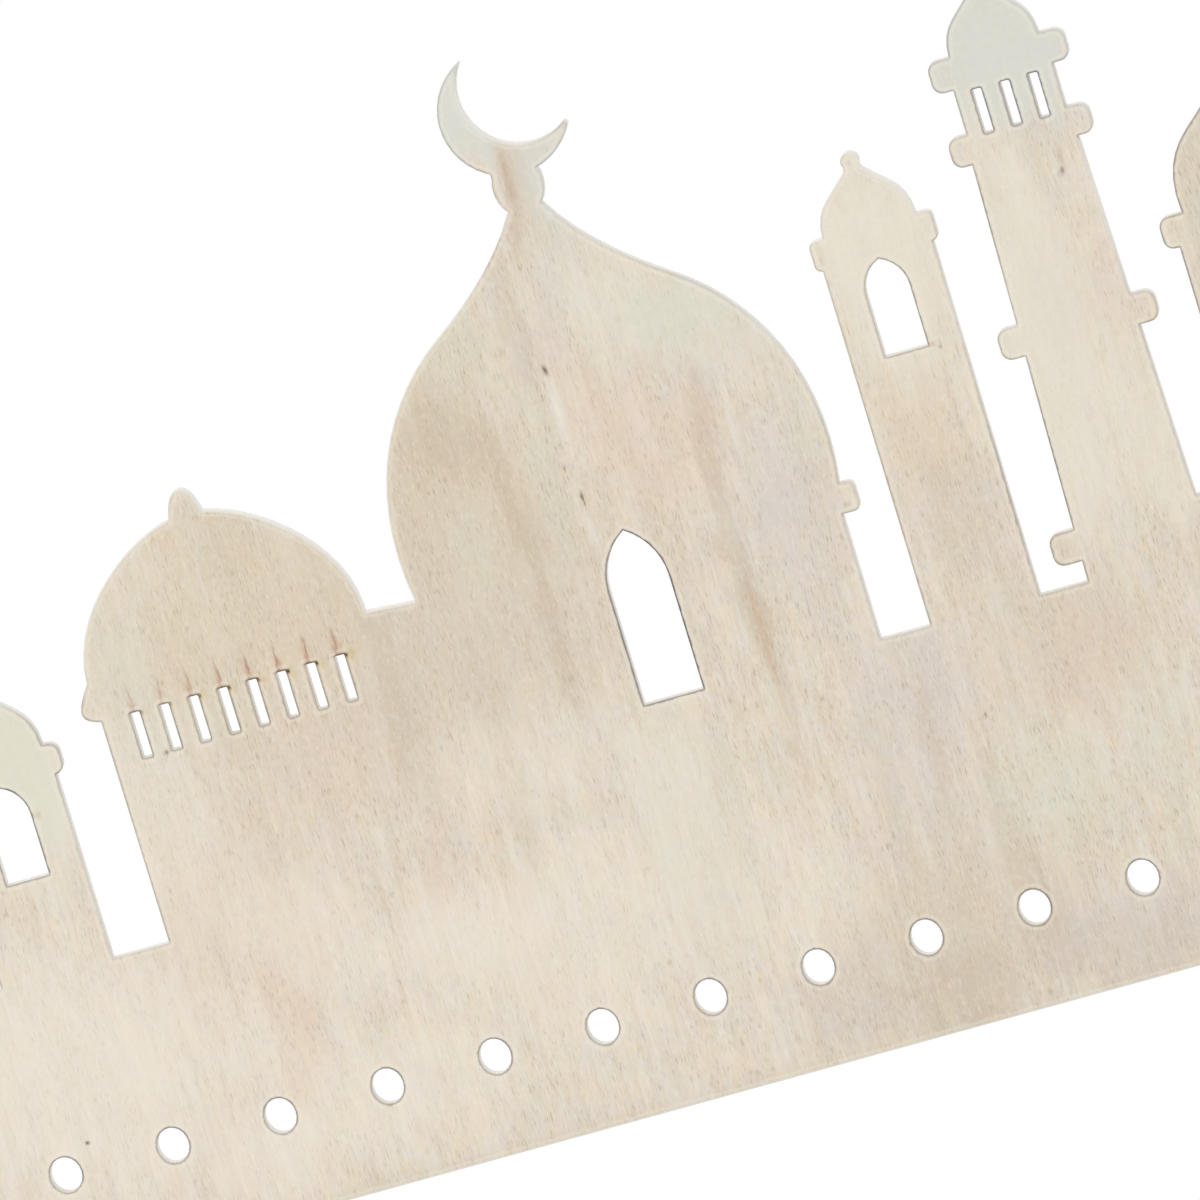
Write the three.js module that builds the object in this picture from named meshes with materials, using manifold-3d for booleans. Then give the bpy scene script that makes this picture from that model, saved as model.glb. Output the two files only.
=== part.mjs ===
// Wooden hanging decoration: a mosque skyline laser-cut from one sheet of three-ply plywood.
// Two face veneers are glued to a core, and one cut runs through all three plies, so each ply
// has the whole outline, its windows, its slots and its row of string holes.
// Units are millimetres. X runs along the sheet, Z is up, and the shown face looks along -Y.
// The origin is on the back face, at the middle of the sheet's length, on the part that lies
// against the wall.

import * as THREE from 'three';
import { mergeVertices } from 'three/addons/utils/BufferGeometryUtils.js';
import Module from 'manifold-3d';

// Plies
const FACE_VENEER = 0.4;
const CORE_PLY = 2.2;

// Height of the origin above the bottom edge
const WALL_FACE_HEIGHT = 55;

// Row of string holes, a little taller than wide
const HOLE_WIDTH = 7.1;
const HOLE_HEIGHT = 8.1;
const HOLE_PITCH = 25;
const HOLE_ROW_HEIGHT = 22.4;
const HOLE_ROW_MARGIN = 12.5;

// Levels: the low gaps' floor above the bottom edge, then each level above the one before it
const LOW_FLOOR = 66.5;
const COURT_RISE = 22.8;
const EAVES_RISE = 36;

// Widths along the sheet, from left to right, that the towers below do not give
const END_GAP = 9.95;
const HALL_GAP = 13.15;
const SHOULDER_WIDTH = 11.45;
const MINARET_GAP = 11.5;
const TALL_GAP = 11;
const PAVILION_GAP = 12.2;

// Low towers at the left, cut twice from one drawing
const LOW_TOWER = {
  width: 26,
  wallHeight: 43.2,
  ledgeHeight: 7.15,
  ledgeReach: 2.2,
  domeWidth: 23.9,
  domeHeight: 14.6,
  windowSill: 22,
};

// Slender minaret at the right of the main dome
const MINARET = {
  width: 25.3,
  wallHeight: 82.4,
  ledgeHeight: 6.9,
  ledgeReach: 1.5,
  domeWidth: 21.4,
  domeHeight: 13.1,
  windowSill: 60.3,
};

// Tall minaret, whose shaft tapers from its foot to its balcony
const TALL = {
  footWidth: 28.7,
  topWidth: 24.3,
  footLedge: { start: 4.8, height: 7.35, reach: 5.9 },
  middleLedge: { start: 52.1, height: 7.1, reach: 4.9 },
  balcony: { start: 96.15, height: 6.85, reach: 4 },
  galleryWidth: 22.9,
  galleryHeight: 10.2,
  crownHeight: 7.3,
  crownReach: 4.2,
  domeWidth: 20.6,
  domeHeight: 13,
};

// Slots that leave the gallery's posts standing
const GALLERY_SLOTS = { count: 3, pitch: 6.45, width: 2.1, length: 10.1, below: 0.8 };

// Pavilion at the right-hand end
const PAVILION = {
  width: 39.3,
  wallHeight: 66.2,
  ledgeHeight: 7.3,
  ledgeReach: 3.1,
  domeWidth: 34,
  domeHeight: 25,
  windowSill: 40,
};

// Arched window of the towers
const TOWER_WINDOW = { width: 9.85, height: 21.5, archRise: 7.2 };

// Hall with the low dome, at the left of the main dome
const HALL = {
  domeWidth: 64.2,
  domeHeight: 30.3,
  domeStart: 2.1,
  wallInset: 0.55,
  corniceHeight: 7,
  corniceReach: 3.6,
  shoulderFall: 0.8,
};
const HALL_SLOTS = { count: 8, pitch: 6.8, width: 2.25, length: 10.5, drop: 17.4 };

// Main dome
const MAIN = {
  domeWidth: 98,
  domeHeight: 78.1,
  neckWidth: 7.9,
  wallInset: 1.2,
  ledgeHeight: 6.8,
  ledgeReach: 4.35,
};
const MAIN_WINDOW = { width: 13.75, height: 38.9, archRise: 12.4 };

// Bead on the main dome, and the crescent that it carries
const BEAD = { height: 7.8, width: 11.4, topWidth: 10.4 };
const CRESCENT = { radius: 14.55, biteRadius: 13.2, biteOffset: 6.5, biteTilt: 48, lean: 1.6 };

// How much of its arcs each horn of the crescent loses to its blunt end
const HORN_ENDS = { upper: 0.9, lower: 2.2 };

// Finials: a ball on each minaret, a pointed nub on the low dome and on the pavilion
const BALL = { radius: 2.05, neckWidth: 3.5, neckHeight: 0.9, domeTopWidth: 4 };
const NUB = { width: 7.8, height: 6 };

// Roundings left by the cutter's path
const LEDGE_CORNER = 2.3;
const SMALL_LEDGE_CORNER = 1.5;
const SLOT_CORNER = 0.35;

// Dome curves: Bezier handles as shares of the half width and of the height
const ONION = [
  [[0.97, 0.565], [0.64, 0.61]],
];
const LOW_ONION = [
  [[0.983, 0.512], [0.476, 0.927]],
];
const PAVILION_ONION = [
  [[1.091, 0.681], [0.43, 0.709]],
];
const MAIN_ONION = [
  [[1.078, 0.316], [0.878, 0.565], [0.562, 0.702]],
  [[0.392, 0.775], [0.188, 0.879]],
];

// How far a straight step may stray from its curve, and the area of a corner that is no corner
const SAG = 0.045;
const FLAT_AREA = 1e-5;

const COURT = LOW_FLOOR + COURT_RISE;
const EAVES = COURT + EAVES_RISE;
const THICKNESS = CORE_PLY + 2 * FACE_VENEER;

const wasm = await Module();
wasm.setup();

// How far a curve turns in all, in radians
function bend(curve) {
  const tangents = Array.from({ length: 17 }, (_, i) => curve.getTangent(i / 16));
  return tangents.slice(1).reduce((sum, t, i) => sum + t.angleTo(tangents[i]), 0);
}

// How many straight steps keep within the sag of a curve
function stepsFor(curve) {
  if (curve.isLineCurve) return 1;
  return Math.max(2, Math.ceil(Math.sqrt((curve.getLength() * bend(curve)) / (8 * SAG))));
}

// Points along a path
function walk(path) {
  const points = [];
  for (const curve of path.curves) {
    const steps = stepsFor(curve);
    for (let i = points.length === 0 ? 0 : 1; i <= steps; i += 1) {
      points.push(curve.getPoint(i / steps));
    }
  }
  return points;
}

// Twice the area of the triangle that three points make
function turn(a, b, c) {
  return (b.x - a.x) * (c.y - a.y) - (c.x - a.x) * (b.y - a.y);
}

// A closed run of points without the ones that repeat or lie on a straight line
function tidy(points) {
  const kept = [...points];
  let i = 0;
  while (i < kept.length) {
    const before = kept[(i + kept.length - 1) % kept.length];
    const after = kept[(i + 1) % kept.length];
    if (Math.abs(turn(before, kept[i], after)) < FLAT_AREA) {
      kept.splice(i, 1);
      i = Math.max(0, i - 1);
    } else {
      i += 1;
    }
  }
  return kept;
}

function outline(draw) {
  const path = new THREE.Path();
  draw(path);
  return tidy(walk(path));
}

// A closed outline that is the same on both sides of an axis, from a drawing of its right-hand
// side, which runs from foot to tip as distances from the axis and heights
function mirrored(axis, draw) {
  const half = outline(draw);
  const left = half.map((p) => new THREE.Vector2(axis - p.x, p.y));
  const right = half.map((p) => new THREE.Vector2(axis + p.x, p.y));
  return tidy([...left, ...right.reverse()]);
}

// A wall that stands on the sheet's bottom edge
function block(left, right, top) {
  return [
    new THREE.Vector2(left, 0),
    new THREE.Vector2(right, 0),
    new THREE.Vector2(right, top),
    new THREE.Vector2(left, top),
  ];
}

// A ledge: a bar with rounded corners
function bar(left, right, bottom, top, corner) {
  const radius = Math.min(corner, (top - bottom) / 2, (right - left) / 2);
  const quarter = Math.PI / 2;
  return outline((path) => {
    path.absarc(right - radius, bottom + radius, radius, -quarter, 0, false);
    path.absarc(right - radius, top - radius, radius, 0, quarter, false);
    path.absarc(left + radius, top - radius, radius, quarter, 2 * quarter, false);
    path.absarc(left + radius, bottom + radius, radius, 2 * quarter, 3 * quarter, false);
  });
}

// A dome's side from its springing up, as far as half its neck's width from the axis
function domeCurves(path, halfWidth, springing, height, halfNeck, curves) {
  const end = [halfNeck / halfWidth, 1];
  for (const curve of curves) {
    const [low, high, top] = [...curve, end];
    path.bezierCurveTo(
      halfWidth * low[0], springing + height * low[1],
      halfWidth * high[0], springing + height * high[1],
      halfWidth * top[0], springing + height * top[1],
    );
  }
}

// A ball finial's side, from its neck to its top
function ball(path, foot) {
  const halfNeck = Math.min(BALL.neckWidth / 2, BALL.radius);
  const neckTurn = -Math.acos(halfNeck / BALL.radius);
  const centre = foot + BALL.neckHeight - BALL.radius * Math.sin(neckTurn);
  path.lineTo(halfNeck, foot + BALL.neckHeight);
  path.absarc(0, centre, BALL.radius, neckTurn, Math.PI / 2, false);
}

// A pointed nub's side
function nub(path, foot) {
  const half = NUB.width / 2;
  path.bezierCurveTo(
    half * 0.82, foot + NUB.height * 0.36,
    half * 0.67, foot + NUB.height * 0.98,
    0, foot + NUB.height,
  );
}

// A whole dome with its finial. It reaches down by its root into what it stands on.
function dome(axis, springing, root, { domeWidth, domeHeight }, curves, halfNeck, finial) {
  const half = domeWidth / 2;
  return mirrored(axis, (path) => {
    path.moveTo(half, springing - root);
    path.lineTo(half, springing);
    domeCurves(path, half, springing, domeHeight, halfNeck, curves);
    finial(path, springing + domeHeight);
  });
}

// A plain tower: a wall, a ledge and an onion dome
function tower(axis, floor, size, corner, curves, halfNeck, finial) {
  const start = floor + size.wallHeight;
  const springing = start + size.ledgeHeight;
  const wall = size.width / 2;
  const reach = wall + size.ledgeReach;
  const root = size.ledgeHeight / 2;
  return [
    block(axis - wall, axis + wall, start + root),
    bar(axis - reach, axis + reach, start, springing, corner),
    dome(axis, springing, root, size, curves, halfNeck, finial),
  ];
}

// Half the tall minaret's width at a height above its floor
function shaftHalf(height) {
  const share = height / TALL.balcony.start;
  return THREE.MathUtils.lerp(TALL.footWidth, TALL.topWidth, share) / 2;
}

function tallLedge(axis, { start, height, reach }) {
  const half = shaftHalf(start) + reach;
  return bar(axis - half, axis + half, COURT + start, COURT + start + height, LEDGE_CORNER);
}

// The tall minaret: a tapered shaft with three ledges, the gallery over them and its crown
function tallMinaret(axis) {
  const { balcony, galleryWidth, galleryHeight, crownHeight, crownReach } = TALL;
  const post = galleryWidth / 2;
  const balconyMiddle = balcony.start + balcony.height / 2;
  const crown = COURT + balcony.start + balcony.height + galleryHeight;
  const springing = crown + crownHeight;
  const root = crownHeight / 2;
  const reach = post + crownReach;
  const shaft = mirrored(axis, (path) => {
    path.moveTo(shaftHalf(0), 0);
    path.lineTo(shaftHalf(0), COURT);
    path.lineTo(shaftHalf(balconyMiddle), COURT + balconyMiddle);
  });
  return [
    shaft,
    tallLedge(axis, TALL.footLedge),
    tallLedge(axis, TALL.middleLedge),
    tallLedge(axis, balcony),
    block(axis - post, axis + post, springing - root),
    bar(axis - reach, axis + reach, crown, springing, LEDGE_CORNER),
    dome(axis, springing, root, TALL, ONION, BALL.domeTopWidth / 2, ball),
  ];
}

// The soft nose at the hall's left, which runs up into the foot of the low dome
function cornice(wall, domeFoot) {
  const start = EAVES - HALL.corniceHeight;
  const top = EAVES + HALL.domeStart;
  const out = wall - HALL.corniceReach * 1.4;
  const inside = wall + HALL.corniceReach;
  return outline((path) => {
    path.moveTo(inside, start + HALL.corniceHeight / 3);
    path.lineTo(wall, start);
    path.bezierCurveTo(
      out, start + HALL.corniceHeight * 0.16,
      out + HALL.corniceReach * 0.14, start + HALL.corniceHeight * 0.48,
      domeFoot, top,
    );
    path.lineTo(inside, top - HALL.corniceHeight / 3);
  });
}

// The hall under the low dome, with the shoulder that leads to the main dome
function hall() {
  const half = HALL.domeWidth / 2;
  const springing = EAVES + HALL.domeStart;
  const shoulder = PLAN.hall + half;
  return [
    [
      new THREE.Vector2(PLAN.hallLeft, 0),
      new THREE.Vector2(shoulder + SHOULDER_WIDTH, 0),
      new THREE.Vector2(shoulder + SHOULDER_WIDTH, EAVES),
      new THREE.Vector2(shoulder, EAVES + HALL.shoulderFall),
      new THREE.Vector2(PLAN.hallLeft, EAVES),
    ],
    cornice(PLAN.hallLeft, PLAN.hall - half),
    dome(PLAN.hall, springing, HALL.domeStart * 2, HALL, LOW_ONION, NUB.width / 2, nub),
  ];
}

// The bead's side, which goes on up into the crescent
function bead(path, foot) {
  path.bezierCurveTo(
    BEAD.width * 0.51, foot + BEAD.height * 0.28,
    BEAD.width * 0.535, foot + BEAD.height * 0.75,
    BEAD.topWidth / 2, foot + BEAD.height,
  );
  path.lineTo(BEAD.topWidth / 2, foot + BEAD.height + CRESCENT.biteOffset / 2);
}

// The crescent: a disc with a disc bitten out of it, and its two horns blunt
function crescent() {
  const { radius, biteRadius, biteOffset, lean } = CRESCENT;
  const tilt = THREE.MathUtils.degToRad(CRESCENT.biteTilt);
  const seat = EAVES + MAIN.domeHeight + BEAD.height;
  const x = PLAN.main + lean;
  const z = seat + Math.sqrt(radius ** 2 - (BEAD.topWidth / 2 - lean) ** 2);
  const biteX = x + biteOffset * Math.cos(tilt);
  const biteZ = z + biteOffset * Math.sin(tilt);

  // Where the discs' rims cross, as angles from the tilt at either disc's centre
  const along = (radius ** 2 - biteRadius ** 2 + biteOffset ** 2) / (2 * biteOffset);
  const outer = Math.acos(along / radius);
  const inner = Math.acos((along - biteOffset) / biteRadius);
  const { upper, lower } = HORN_ENDS;
  const start = tilt + outer + upper / radius;
  const end = tilt - outer - lower / radius + 2 * Math.PI;
  const biteStart = tilt - inner - lower / biteRadius + 2 * Math.PI;
  const biteEnd = tilt + inner + upper / biteRadius;
  return outline((path) => {
    path.absarc(x, z, radius, start, end, false);
    path.absarc(biteX, biteZ, biteRadius, biteStart, biteEnd, true);
  });
}

// The main dome with its wall, its ledge, and the bead that carries the crescent
function mainDome() {
  const left = PLAN.main - MAIN.domeWidth / 2;
  const wall = PLAN.main + MAIN.domeWidth / 2 - MAIN.wallInset;
  const ledgeBottom = EAVES - MAIN.ledgeHeight;
  const root = MAIN.ledgeHeight / 2;
  return [
    block(left, wall, EAVES),
    bar(PLAN.main, wall + MAIN.ledgeReach, ledgeBottom, EAVES, SMALL_LEDGE_CORNER),
    dome(PLAN.main, EAVES, root, MAIN, MAIN_ONION, MAIN.neckWidth / 2, bead),
    crescent(),
  ];
}

// Where each part of the skyline stands: its axis or edge along X, from the sheet's left end
function layOut() {
  let x = 0;
  const step = (width) => {
    x += width;
    return x;
  };
  const stand = (width) => step(width) - width / 2;
  const plan = {};
  plan.endTower = stand(LOW_TOWER.width);
  step(END_GAP);
  plan.lowTower = stand(LOW_TOWER.width);
  plan.hallLeft = step(HALL_GAP);
  step(-HALL.wallInset);
  plan.hall = stand(HALL.domeWidth);
  step(SHOULDER_WIDTH);
  plan.main = stand(MAIN.domeWidth);
  step(MINARET_GAP - MAIN.wallInset);
  plan.minaret = stand(MINARET.width);
  step(TALL_GAP);
  plan.tall = stand(TALL.footWidth);
  step(PAVILION_GAP);
  plan.pavilion = stand(PAVILION.width);
  plan.length = x;
  return plan;
}

const PLAN = layOut();

// The silhouette, as outlines that overlap
function skyline() {
  const ballNeck = BALL.domeTopWidth / 2;
  const nubNeck = NUB.width / 2;
  return [
    block(0, PLAN.length, LOW_FLOOR),
    block(PLAN.hallLeft, PLAN.length, COURT),
    ...tower(PLAN.endTower, LOW_FLOOR, LOW_TOWER, LEDGE_CORNER, ONION, ballNeck, ball),
    ...tower(PLAN.lowTower, LOW_FLOOR, LOW_TOWER, LEDGE_CORNER, ONION, ballNeck, ball),
    ...hall(),
    ...mainDome(),
    ...tower(PLAN.minaret, COURT, MINARET, SMALL_LEDGE_CORNER, ONION, ballNeck, ball),
    ...tallMinaret(PLAN.tall),
    ...tower(PLAN.pavilion, COURT, PAVILION, LEDGE_CORNER, PAVILION_ONION, nubNeck, nub),
  ];
}

// A window with straight jambs and a pointed arch of two arcs
function archedWindow({ width, height, archRise }, axis, sill) {
  const half = width / 2;
  const radius = (archRise ** 2 + half ** 2) / width;
  const springing = sill + height - archRise;
  return mirrored(axis, (path) => {
    path.moveTo(half, sill);
    path.lineTo(half, springing);
    path.absarc(half - radius, springing, radius, 0, Math.asin(archRise / radius), false);
  });
}

// A row of upright slots, with their corners rounded
function slotRow({ count, pitch, width, length }, axis, bottom) {
  const first = axis - (pitch * (count - 1)) / 2;
  return Array.from({ length: count }, (_, i) => {
    const left = first + i * pitch - width / 2;
    return bar(left, left + width, bottom, bottom + length, SLOT_CORNER);
  });
}

// The row of string holes, as many as the sheet's length takes, centred on it
function stringHoles() {
  const spaces = Math.floor((PLAN.length - 2 * HOLE_ROW_MARGIN) / HOLE_PITCH + 1e-6);
  const first = (PLAN.length - spaces * HOLE_PITCH) / 2;
  return Array.from({ length: spaces + 1 }, (_, i) => {
    const x = first + i * HOLE_PITCH;
    return outline((path) => {
      path.absellipse(x, HOLE_ROW_HEIGHT, HOLE_WIDTH / 2, HOLE_HEIGHT / 2, 0, 2 * Math.PI);
    });
  });
}

// Every opening within the silhouette
function openings() {
  const balconyTop = COURT + TALL.balcony.start + TALL.balcony.height;
  return [
    ...stringHoles(),
    archedWindow(TOWER_WINDOW, PLAN.endTower, LOW_FLOOR + LOW_TOWER.windowSill),
    archedWindow(TOWER_WINDOW, PLAN.lowTower, LOW_FLOOR + LOW_TOWER.windowSill),
    ...slotRow(HALL_SLOTS, PLAN.hall, EAVES - HALL_SLOTS.drop),
    archedWindow(MAIN_WINDOW, PLAN.main, COURT),
    archedWindow(TOWER_WINDOW, PLAN.minaret, COURT + MINARET.windowSill),
    ...slotRow(GALLERY_SLOTS, PLAN.tall, balconyTop - GALLERY_SLOTS.below),
    archedWindow(TOWER_WINDOW, PLAN.pavilion, COURT + PAVILION.windowSill),
  ];
}

// An outline as a solid between two distances in front of the wall, about the sheet's origin
function solid(points, back, front) {
  const geometry = new THREE.ExtrudeGeometry(new THREE.Shape(points), {
    depth: front - back,
    bevelEnabled: false,
  });
  geometry.translate(-PLAN.length / 2, -WALL_FACE_HEIGHT, back);
  geometry.rotateX(Math.PI / 2);
  geometry.deleteAttribute('normal');
  geometry.deleteAttribute('uv');
  const merged = mergeVertices(geometry);
  return new wasm.Manifold(new wasm.Mesh({
    numProp: 3,
    vertProperties: merged.attributes.position.array,
    triVerts: new Uint32Array(merged.index.array),
  }));
}

// The geometry of one ply: the silhouette's outlines joined, less every opening
function cutPly(back, front) {
  const joined = skyline()
    .map((points) => solid(points, back, front))
    .reduce((sheet, piece) => sheet.add(piece));
  const cut = openings()
    .map((points) => solid(points, back - 1, front + 1))
    .reduce((sheet, opening) => sheet.subtract(opening), joined);
  const { vertProperties, triVerts } = cut.getMesh();
  const geometry = new THREE.BufferGeometry();
  geometry.setAttribute('position', new THREE.BufferAttribute(vertProperties, 3));
  geometry.setIndex(new THREE.BufferAttribute(triVerts, 1));
  const faceted = geometry.toNonIndexed();
  faceted.computeVertexNormals();
  return faceted;
}

function ply(name, back, front, color) {
  const material = new THREE.MeshStandardMaterial({ color, roughness: 0.7, metalness: 0 });
  const mesh = new THREE.Mesh(cutPly(back, front), material);
  mesh.name = name;
  return mesh;
}

const decoration = new THREE.Group();
decoration.add(
  ply('back_veneer', 0, FACE_VENEER, 0xe2d6c2),
  ply('core_ply', FACE_VENEER, FACE_VENEER + CORE_PLY, 0xd9c7a6),
  ply('front_veneer', FACE_VENEER + CORE_PLY, THICKNESS, 0xe4dac8),
);

export default decoration;
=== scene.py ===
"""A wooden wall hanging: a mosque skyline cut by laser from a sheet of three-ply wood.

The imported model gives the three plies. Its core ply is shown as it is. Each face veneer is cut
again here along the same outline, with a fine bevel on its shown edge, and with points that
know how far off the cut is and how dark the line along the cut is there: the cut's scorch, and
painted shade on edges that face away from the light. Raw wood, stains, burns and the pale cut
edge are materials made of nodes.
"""

from math import ceil, cos, radians, sin

import bmesh
import bpy
import numpy as np
from mathutils import Matrix, Vector, geometry
from mathutils.kdtree import KDTree


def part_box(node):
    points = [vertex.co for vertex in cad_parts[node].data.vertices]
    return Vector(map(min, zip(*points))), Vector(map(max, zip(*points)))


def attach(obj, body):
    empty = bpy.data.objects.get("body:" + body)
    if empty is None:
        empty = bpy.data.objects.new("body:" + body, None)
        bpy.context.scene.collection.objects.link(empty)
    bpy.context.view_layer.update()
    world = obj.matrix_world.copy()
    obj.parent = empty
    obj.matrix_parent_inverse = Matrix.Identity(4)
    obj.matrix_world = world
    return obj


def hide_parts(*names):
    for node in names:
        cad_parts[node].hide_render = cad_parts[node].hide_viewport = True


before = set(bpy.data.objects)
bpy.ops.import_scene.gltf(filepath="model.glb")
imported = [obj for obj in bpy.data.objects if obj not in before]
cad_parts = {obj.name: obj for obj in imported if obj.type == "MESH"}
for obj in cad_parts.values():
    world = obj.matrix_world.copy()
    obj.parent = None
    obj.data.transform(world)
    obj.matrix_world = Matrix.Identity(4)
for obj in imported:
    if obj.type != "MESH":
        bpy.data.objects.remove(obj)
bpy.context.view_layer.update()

MM = 0.001
MM_PER_M = 1000

# How finely a veneer's outline is cut again, in millimetres
OUTLINE_STEP = 1.2
BEVEL = 0.12
# Rows of points this far in from the cut. A point is left out where any cut is closer to it than
# the kept share of that.
RINGS = (BEVEL, 0.35, 0.8, 1.6)
RING_KEPT = 0.93
FINDER_STEP = 0.1
SLOT_WIDTH = 3
SHARP_ANGLE = radians(30)

# Picture: the camera stands in front of the sheet, a little to the right and above, and leans
AIM = Vector((2.065, -1.5, 59.41)) * MM
STAND_OFF = 6.0
SWING = radians(12.621)
SWING_SIDE = radians(46.4)
LEAN = radians(-16.9818)
LENS = 816.47
SENSOR = 36
FAR_CLIP = 100

# Studio, in metres
FLOOR_RADIUS = 0.95
FLOOR_HEIGHT = -0.3
ROOM_LIGHT = 0.84
LAMP_POWER = 21.3
LAMP_SIZE = 1.6
LAMP_PLACE = Vector((-1.0, -2.4, 1.9))
LAMP_AIM = Vector((0, 0, 0.06))


# Outline of the plies

def cut_outlines(ply, side):
    """The cuts through a ply, as closed runs of (x, z) in millimetres with the wood on the left.
    They are read from the ply's face that looks along Y by side, which is -1 or 1."""
    mesh = bmesh.new()
    mesh.from_mesh(ply.data)
    bmesh.ops.remove_doubles(mesh, verts=mesh.verts, dist=1e-6)
    after = {}
    for face in mesh.faces:
        if face.normal.y * side < 0.5:
            continue
        for loop in face.loops:
            if any(abs(other.normal.y) < 0.5 for other in loop.edge.link_faces):
                after[loop.vert.index] = loop.link_loop_next.vert.index
    places = [(v.co.x * MM_PER_M, v.co.z * MM_PER_M) for v in mesh.verts]
    mesh.free()
    outlines = []
    while after:
        run = [min(after)]
        while run[-1] in after:
            run.append(after.pop(run[-1]))
        points = np.array([places[i] for i in run[:-1]])
        outlines.append(points if side < 0 else points[::-1])
    return outlines


def finely(outline, step):
    """The same outline with points no further apart than a step."""
    points = []
    for start, end in zip(outline, np.roll(outline, -1, axis=0)):
        count = ceil(np.hypot(*(end - start)) / step)
        points += [start + (end - start) * i / count for i in range(count)]
    return np.array(points)


def edge_normals(outline):
    """The direction out of the wood at each stretch of an outline."""
    along = np.roll(outline, -1, axis=0) - outline
    out = np.stack([along[:, 1], -along[:, 0]], axis=1)
    return out / np.linalg.norm(out, axis=1)[:, None]


def cut_finder(starts, ends):
    """A finder of the nearest cut, made of close points along every stretch of cut, and the
    number of the stretch that each of its points is on."""
    places, numbers = [], []
    for number, (start, end) in enumerate(zip(starts, ends)):
        count = ceil(np.hypot(*(end - start)) / FINDER_STEP)
        places += [start + (end - start) * i / count for i in range(count)]
        numbers += [number] * count
    finder = KDTree(len(places))
    for i, (x, z) in enumerate(places):
        finder.insert((x, z, 0), i)
    finder.balance()
    return finder, np.array(numbers)


def nearest_cut(points, finder, numbers):
    """How far each point is from the nearest cut, and which stretch of cut that is."""
    found = [finder.find((x, z, 0)) for x, z in points]
    return np.array([f[2] for f in found]), numbers[[f[1] for f in found]]


def in_wood(triangles, stretches):
    """The triangles that lie in the wood: those on the left of a stretch of cut, and all that
    join them without crossing a cut."""
    owner = {}
    for number, (a, b, c) in enumerate(triangles):
        owner[a, b] = owner[b, c] = owner[c, a] = number
    cuts = set(stretches)
    wood = {owner[stretch] for stretch in stretches}
    front = sorted(wood)
    while front:
        a, b, c = triangles[front.pop()]
        for pair in ((a, b), (b, c), (c, a)):
            beyond = owner.get(pair[::-1])
            if pair not in cuts and beyond is not None and beyond not in wood:
                wood.add(beyond)
                front.append(beyond)
    return [triangles[number] for number in sorted(wood)]


# How the cut scorched the wood, and painted shade along the cut

# Places (x, z, radius in mm) where the laser left a darker line along its cut, and how dark
SCORCHED = (
    (-125, 62, 14, 0.35),    # low tower beside the hall
    (11.7, 52, 20, 0.40),    # main window
    (62, 84, 14, 0.15),      # foot of the main dome's right flank
    (108, 118, 12, 0.35),    # left side of the tall minaret
    (106, 62, 20, 0.35),
    (122, 151, 18, 0.10),
    (153, 110, 26, 0.50),    # pavilion
    (42, 123, 16, 0.12),     # upper right of the main dome
)

# Places where the cut's edge stayed clean
CLEAN = (
    (-36, 90, 30, 0.60),     # left flank of the main dome
    (-14, 127, 14, 0.30),
    (-105, 85, 22, 0.45),    # low dome
    (-60, 90, 24, 0.45),
    (11, 171, 8, 0.50),      # inside of the crescent
    (7, 148, 6, 0.30),
    (84, 128, 13, 0.35),     # dome and left side of the minaret
    (72, 96, 20, 0.15),
    (134, 112, 20, 0.45),    # right side of the tall minaret
)

# How dark the line is along openings and along the outline, how much painted shade darkens it on
# edges that face away from the light coming from the given (x, z) direction, and how dark it is
# along the straight bottom edge
OPENING_SCORCH = 0.42
OUTLINE_SCORCH = 0.10
PAINTED_EDGE_SHADE = 0.36
BOTTOM_SCORCH = 0.05
PAINTED_LIGHT_FROM = (0.69, 0.72)


def spot_sum(points, spots):
    """The sum of soft round spots at each point."""
    total = np.zeros(len(points))
    for x, z, radius, strength in spots:
        away = ((points - (x, z)) ** 2).sum(1) / radius ** 2
        total += strength * np.exp(-away)
    return total


def is_slot(outline):
    """Whether an outline is one of the narrow upright slots."""
    width, height = np.ptp(outline, axis=0)
    return width < SLOT_WIDTH < height


def scorch_and_shade_along(outline, opening):
    """How dark the line along each stretch of cut is, from 0 to 1."""
    # Painted shade: none on edges that face the light's direction, most on edges that face away
    # from it
    shaded_side = 0.5 - 0.5 * edge_normals(outline) @ PAINTED_LIGHT_FROM
    dark = (OPENING_SCORCH if opening else OUTLINE_SCORCH) + PAINTED_EDGE_SHADE * shaded_side
    dark += spot_sum(outline, SCORCHED) - spot_sum(outline, CLEAN)
    if not opening:
        dark[outline[:, 1] < outline[:, 1].min() + OUTLINE_STEP] = BOTTOM_SCORCH
    return np.clip(dark, 0, 1)


# Veneers

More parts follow.
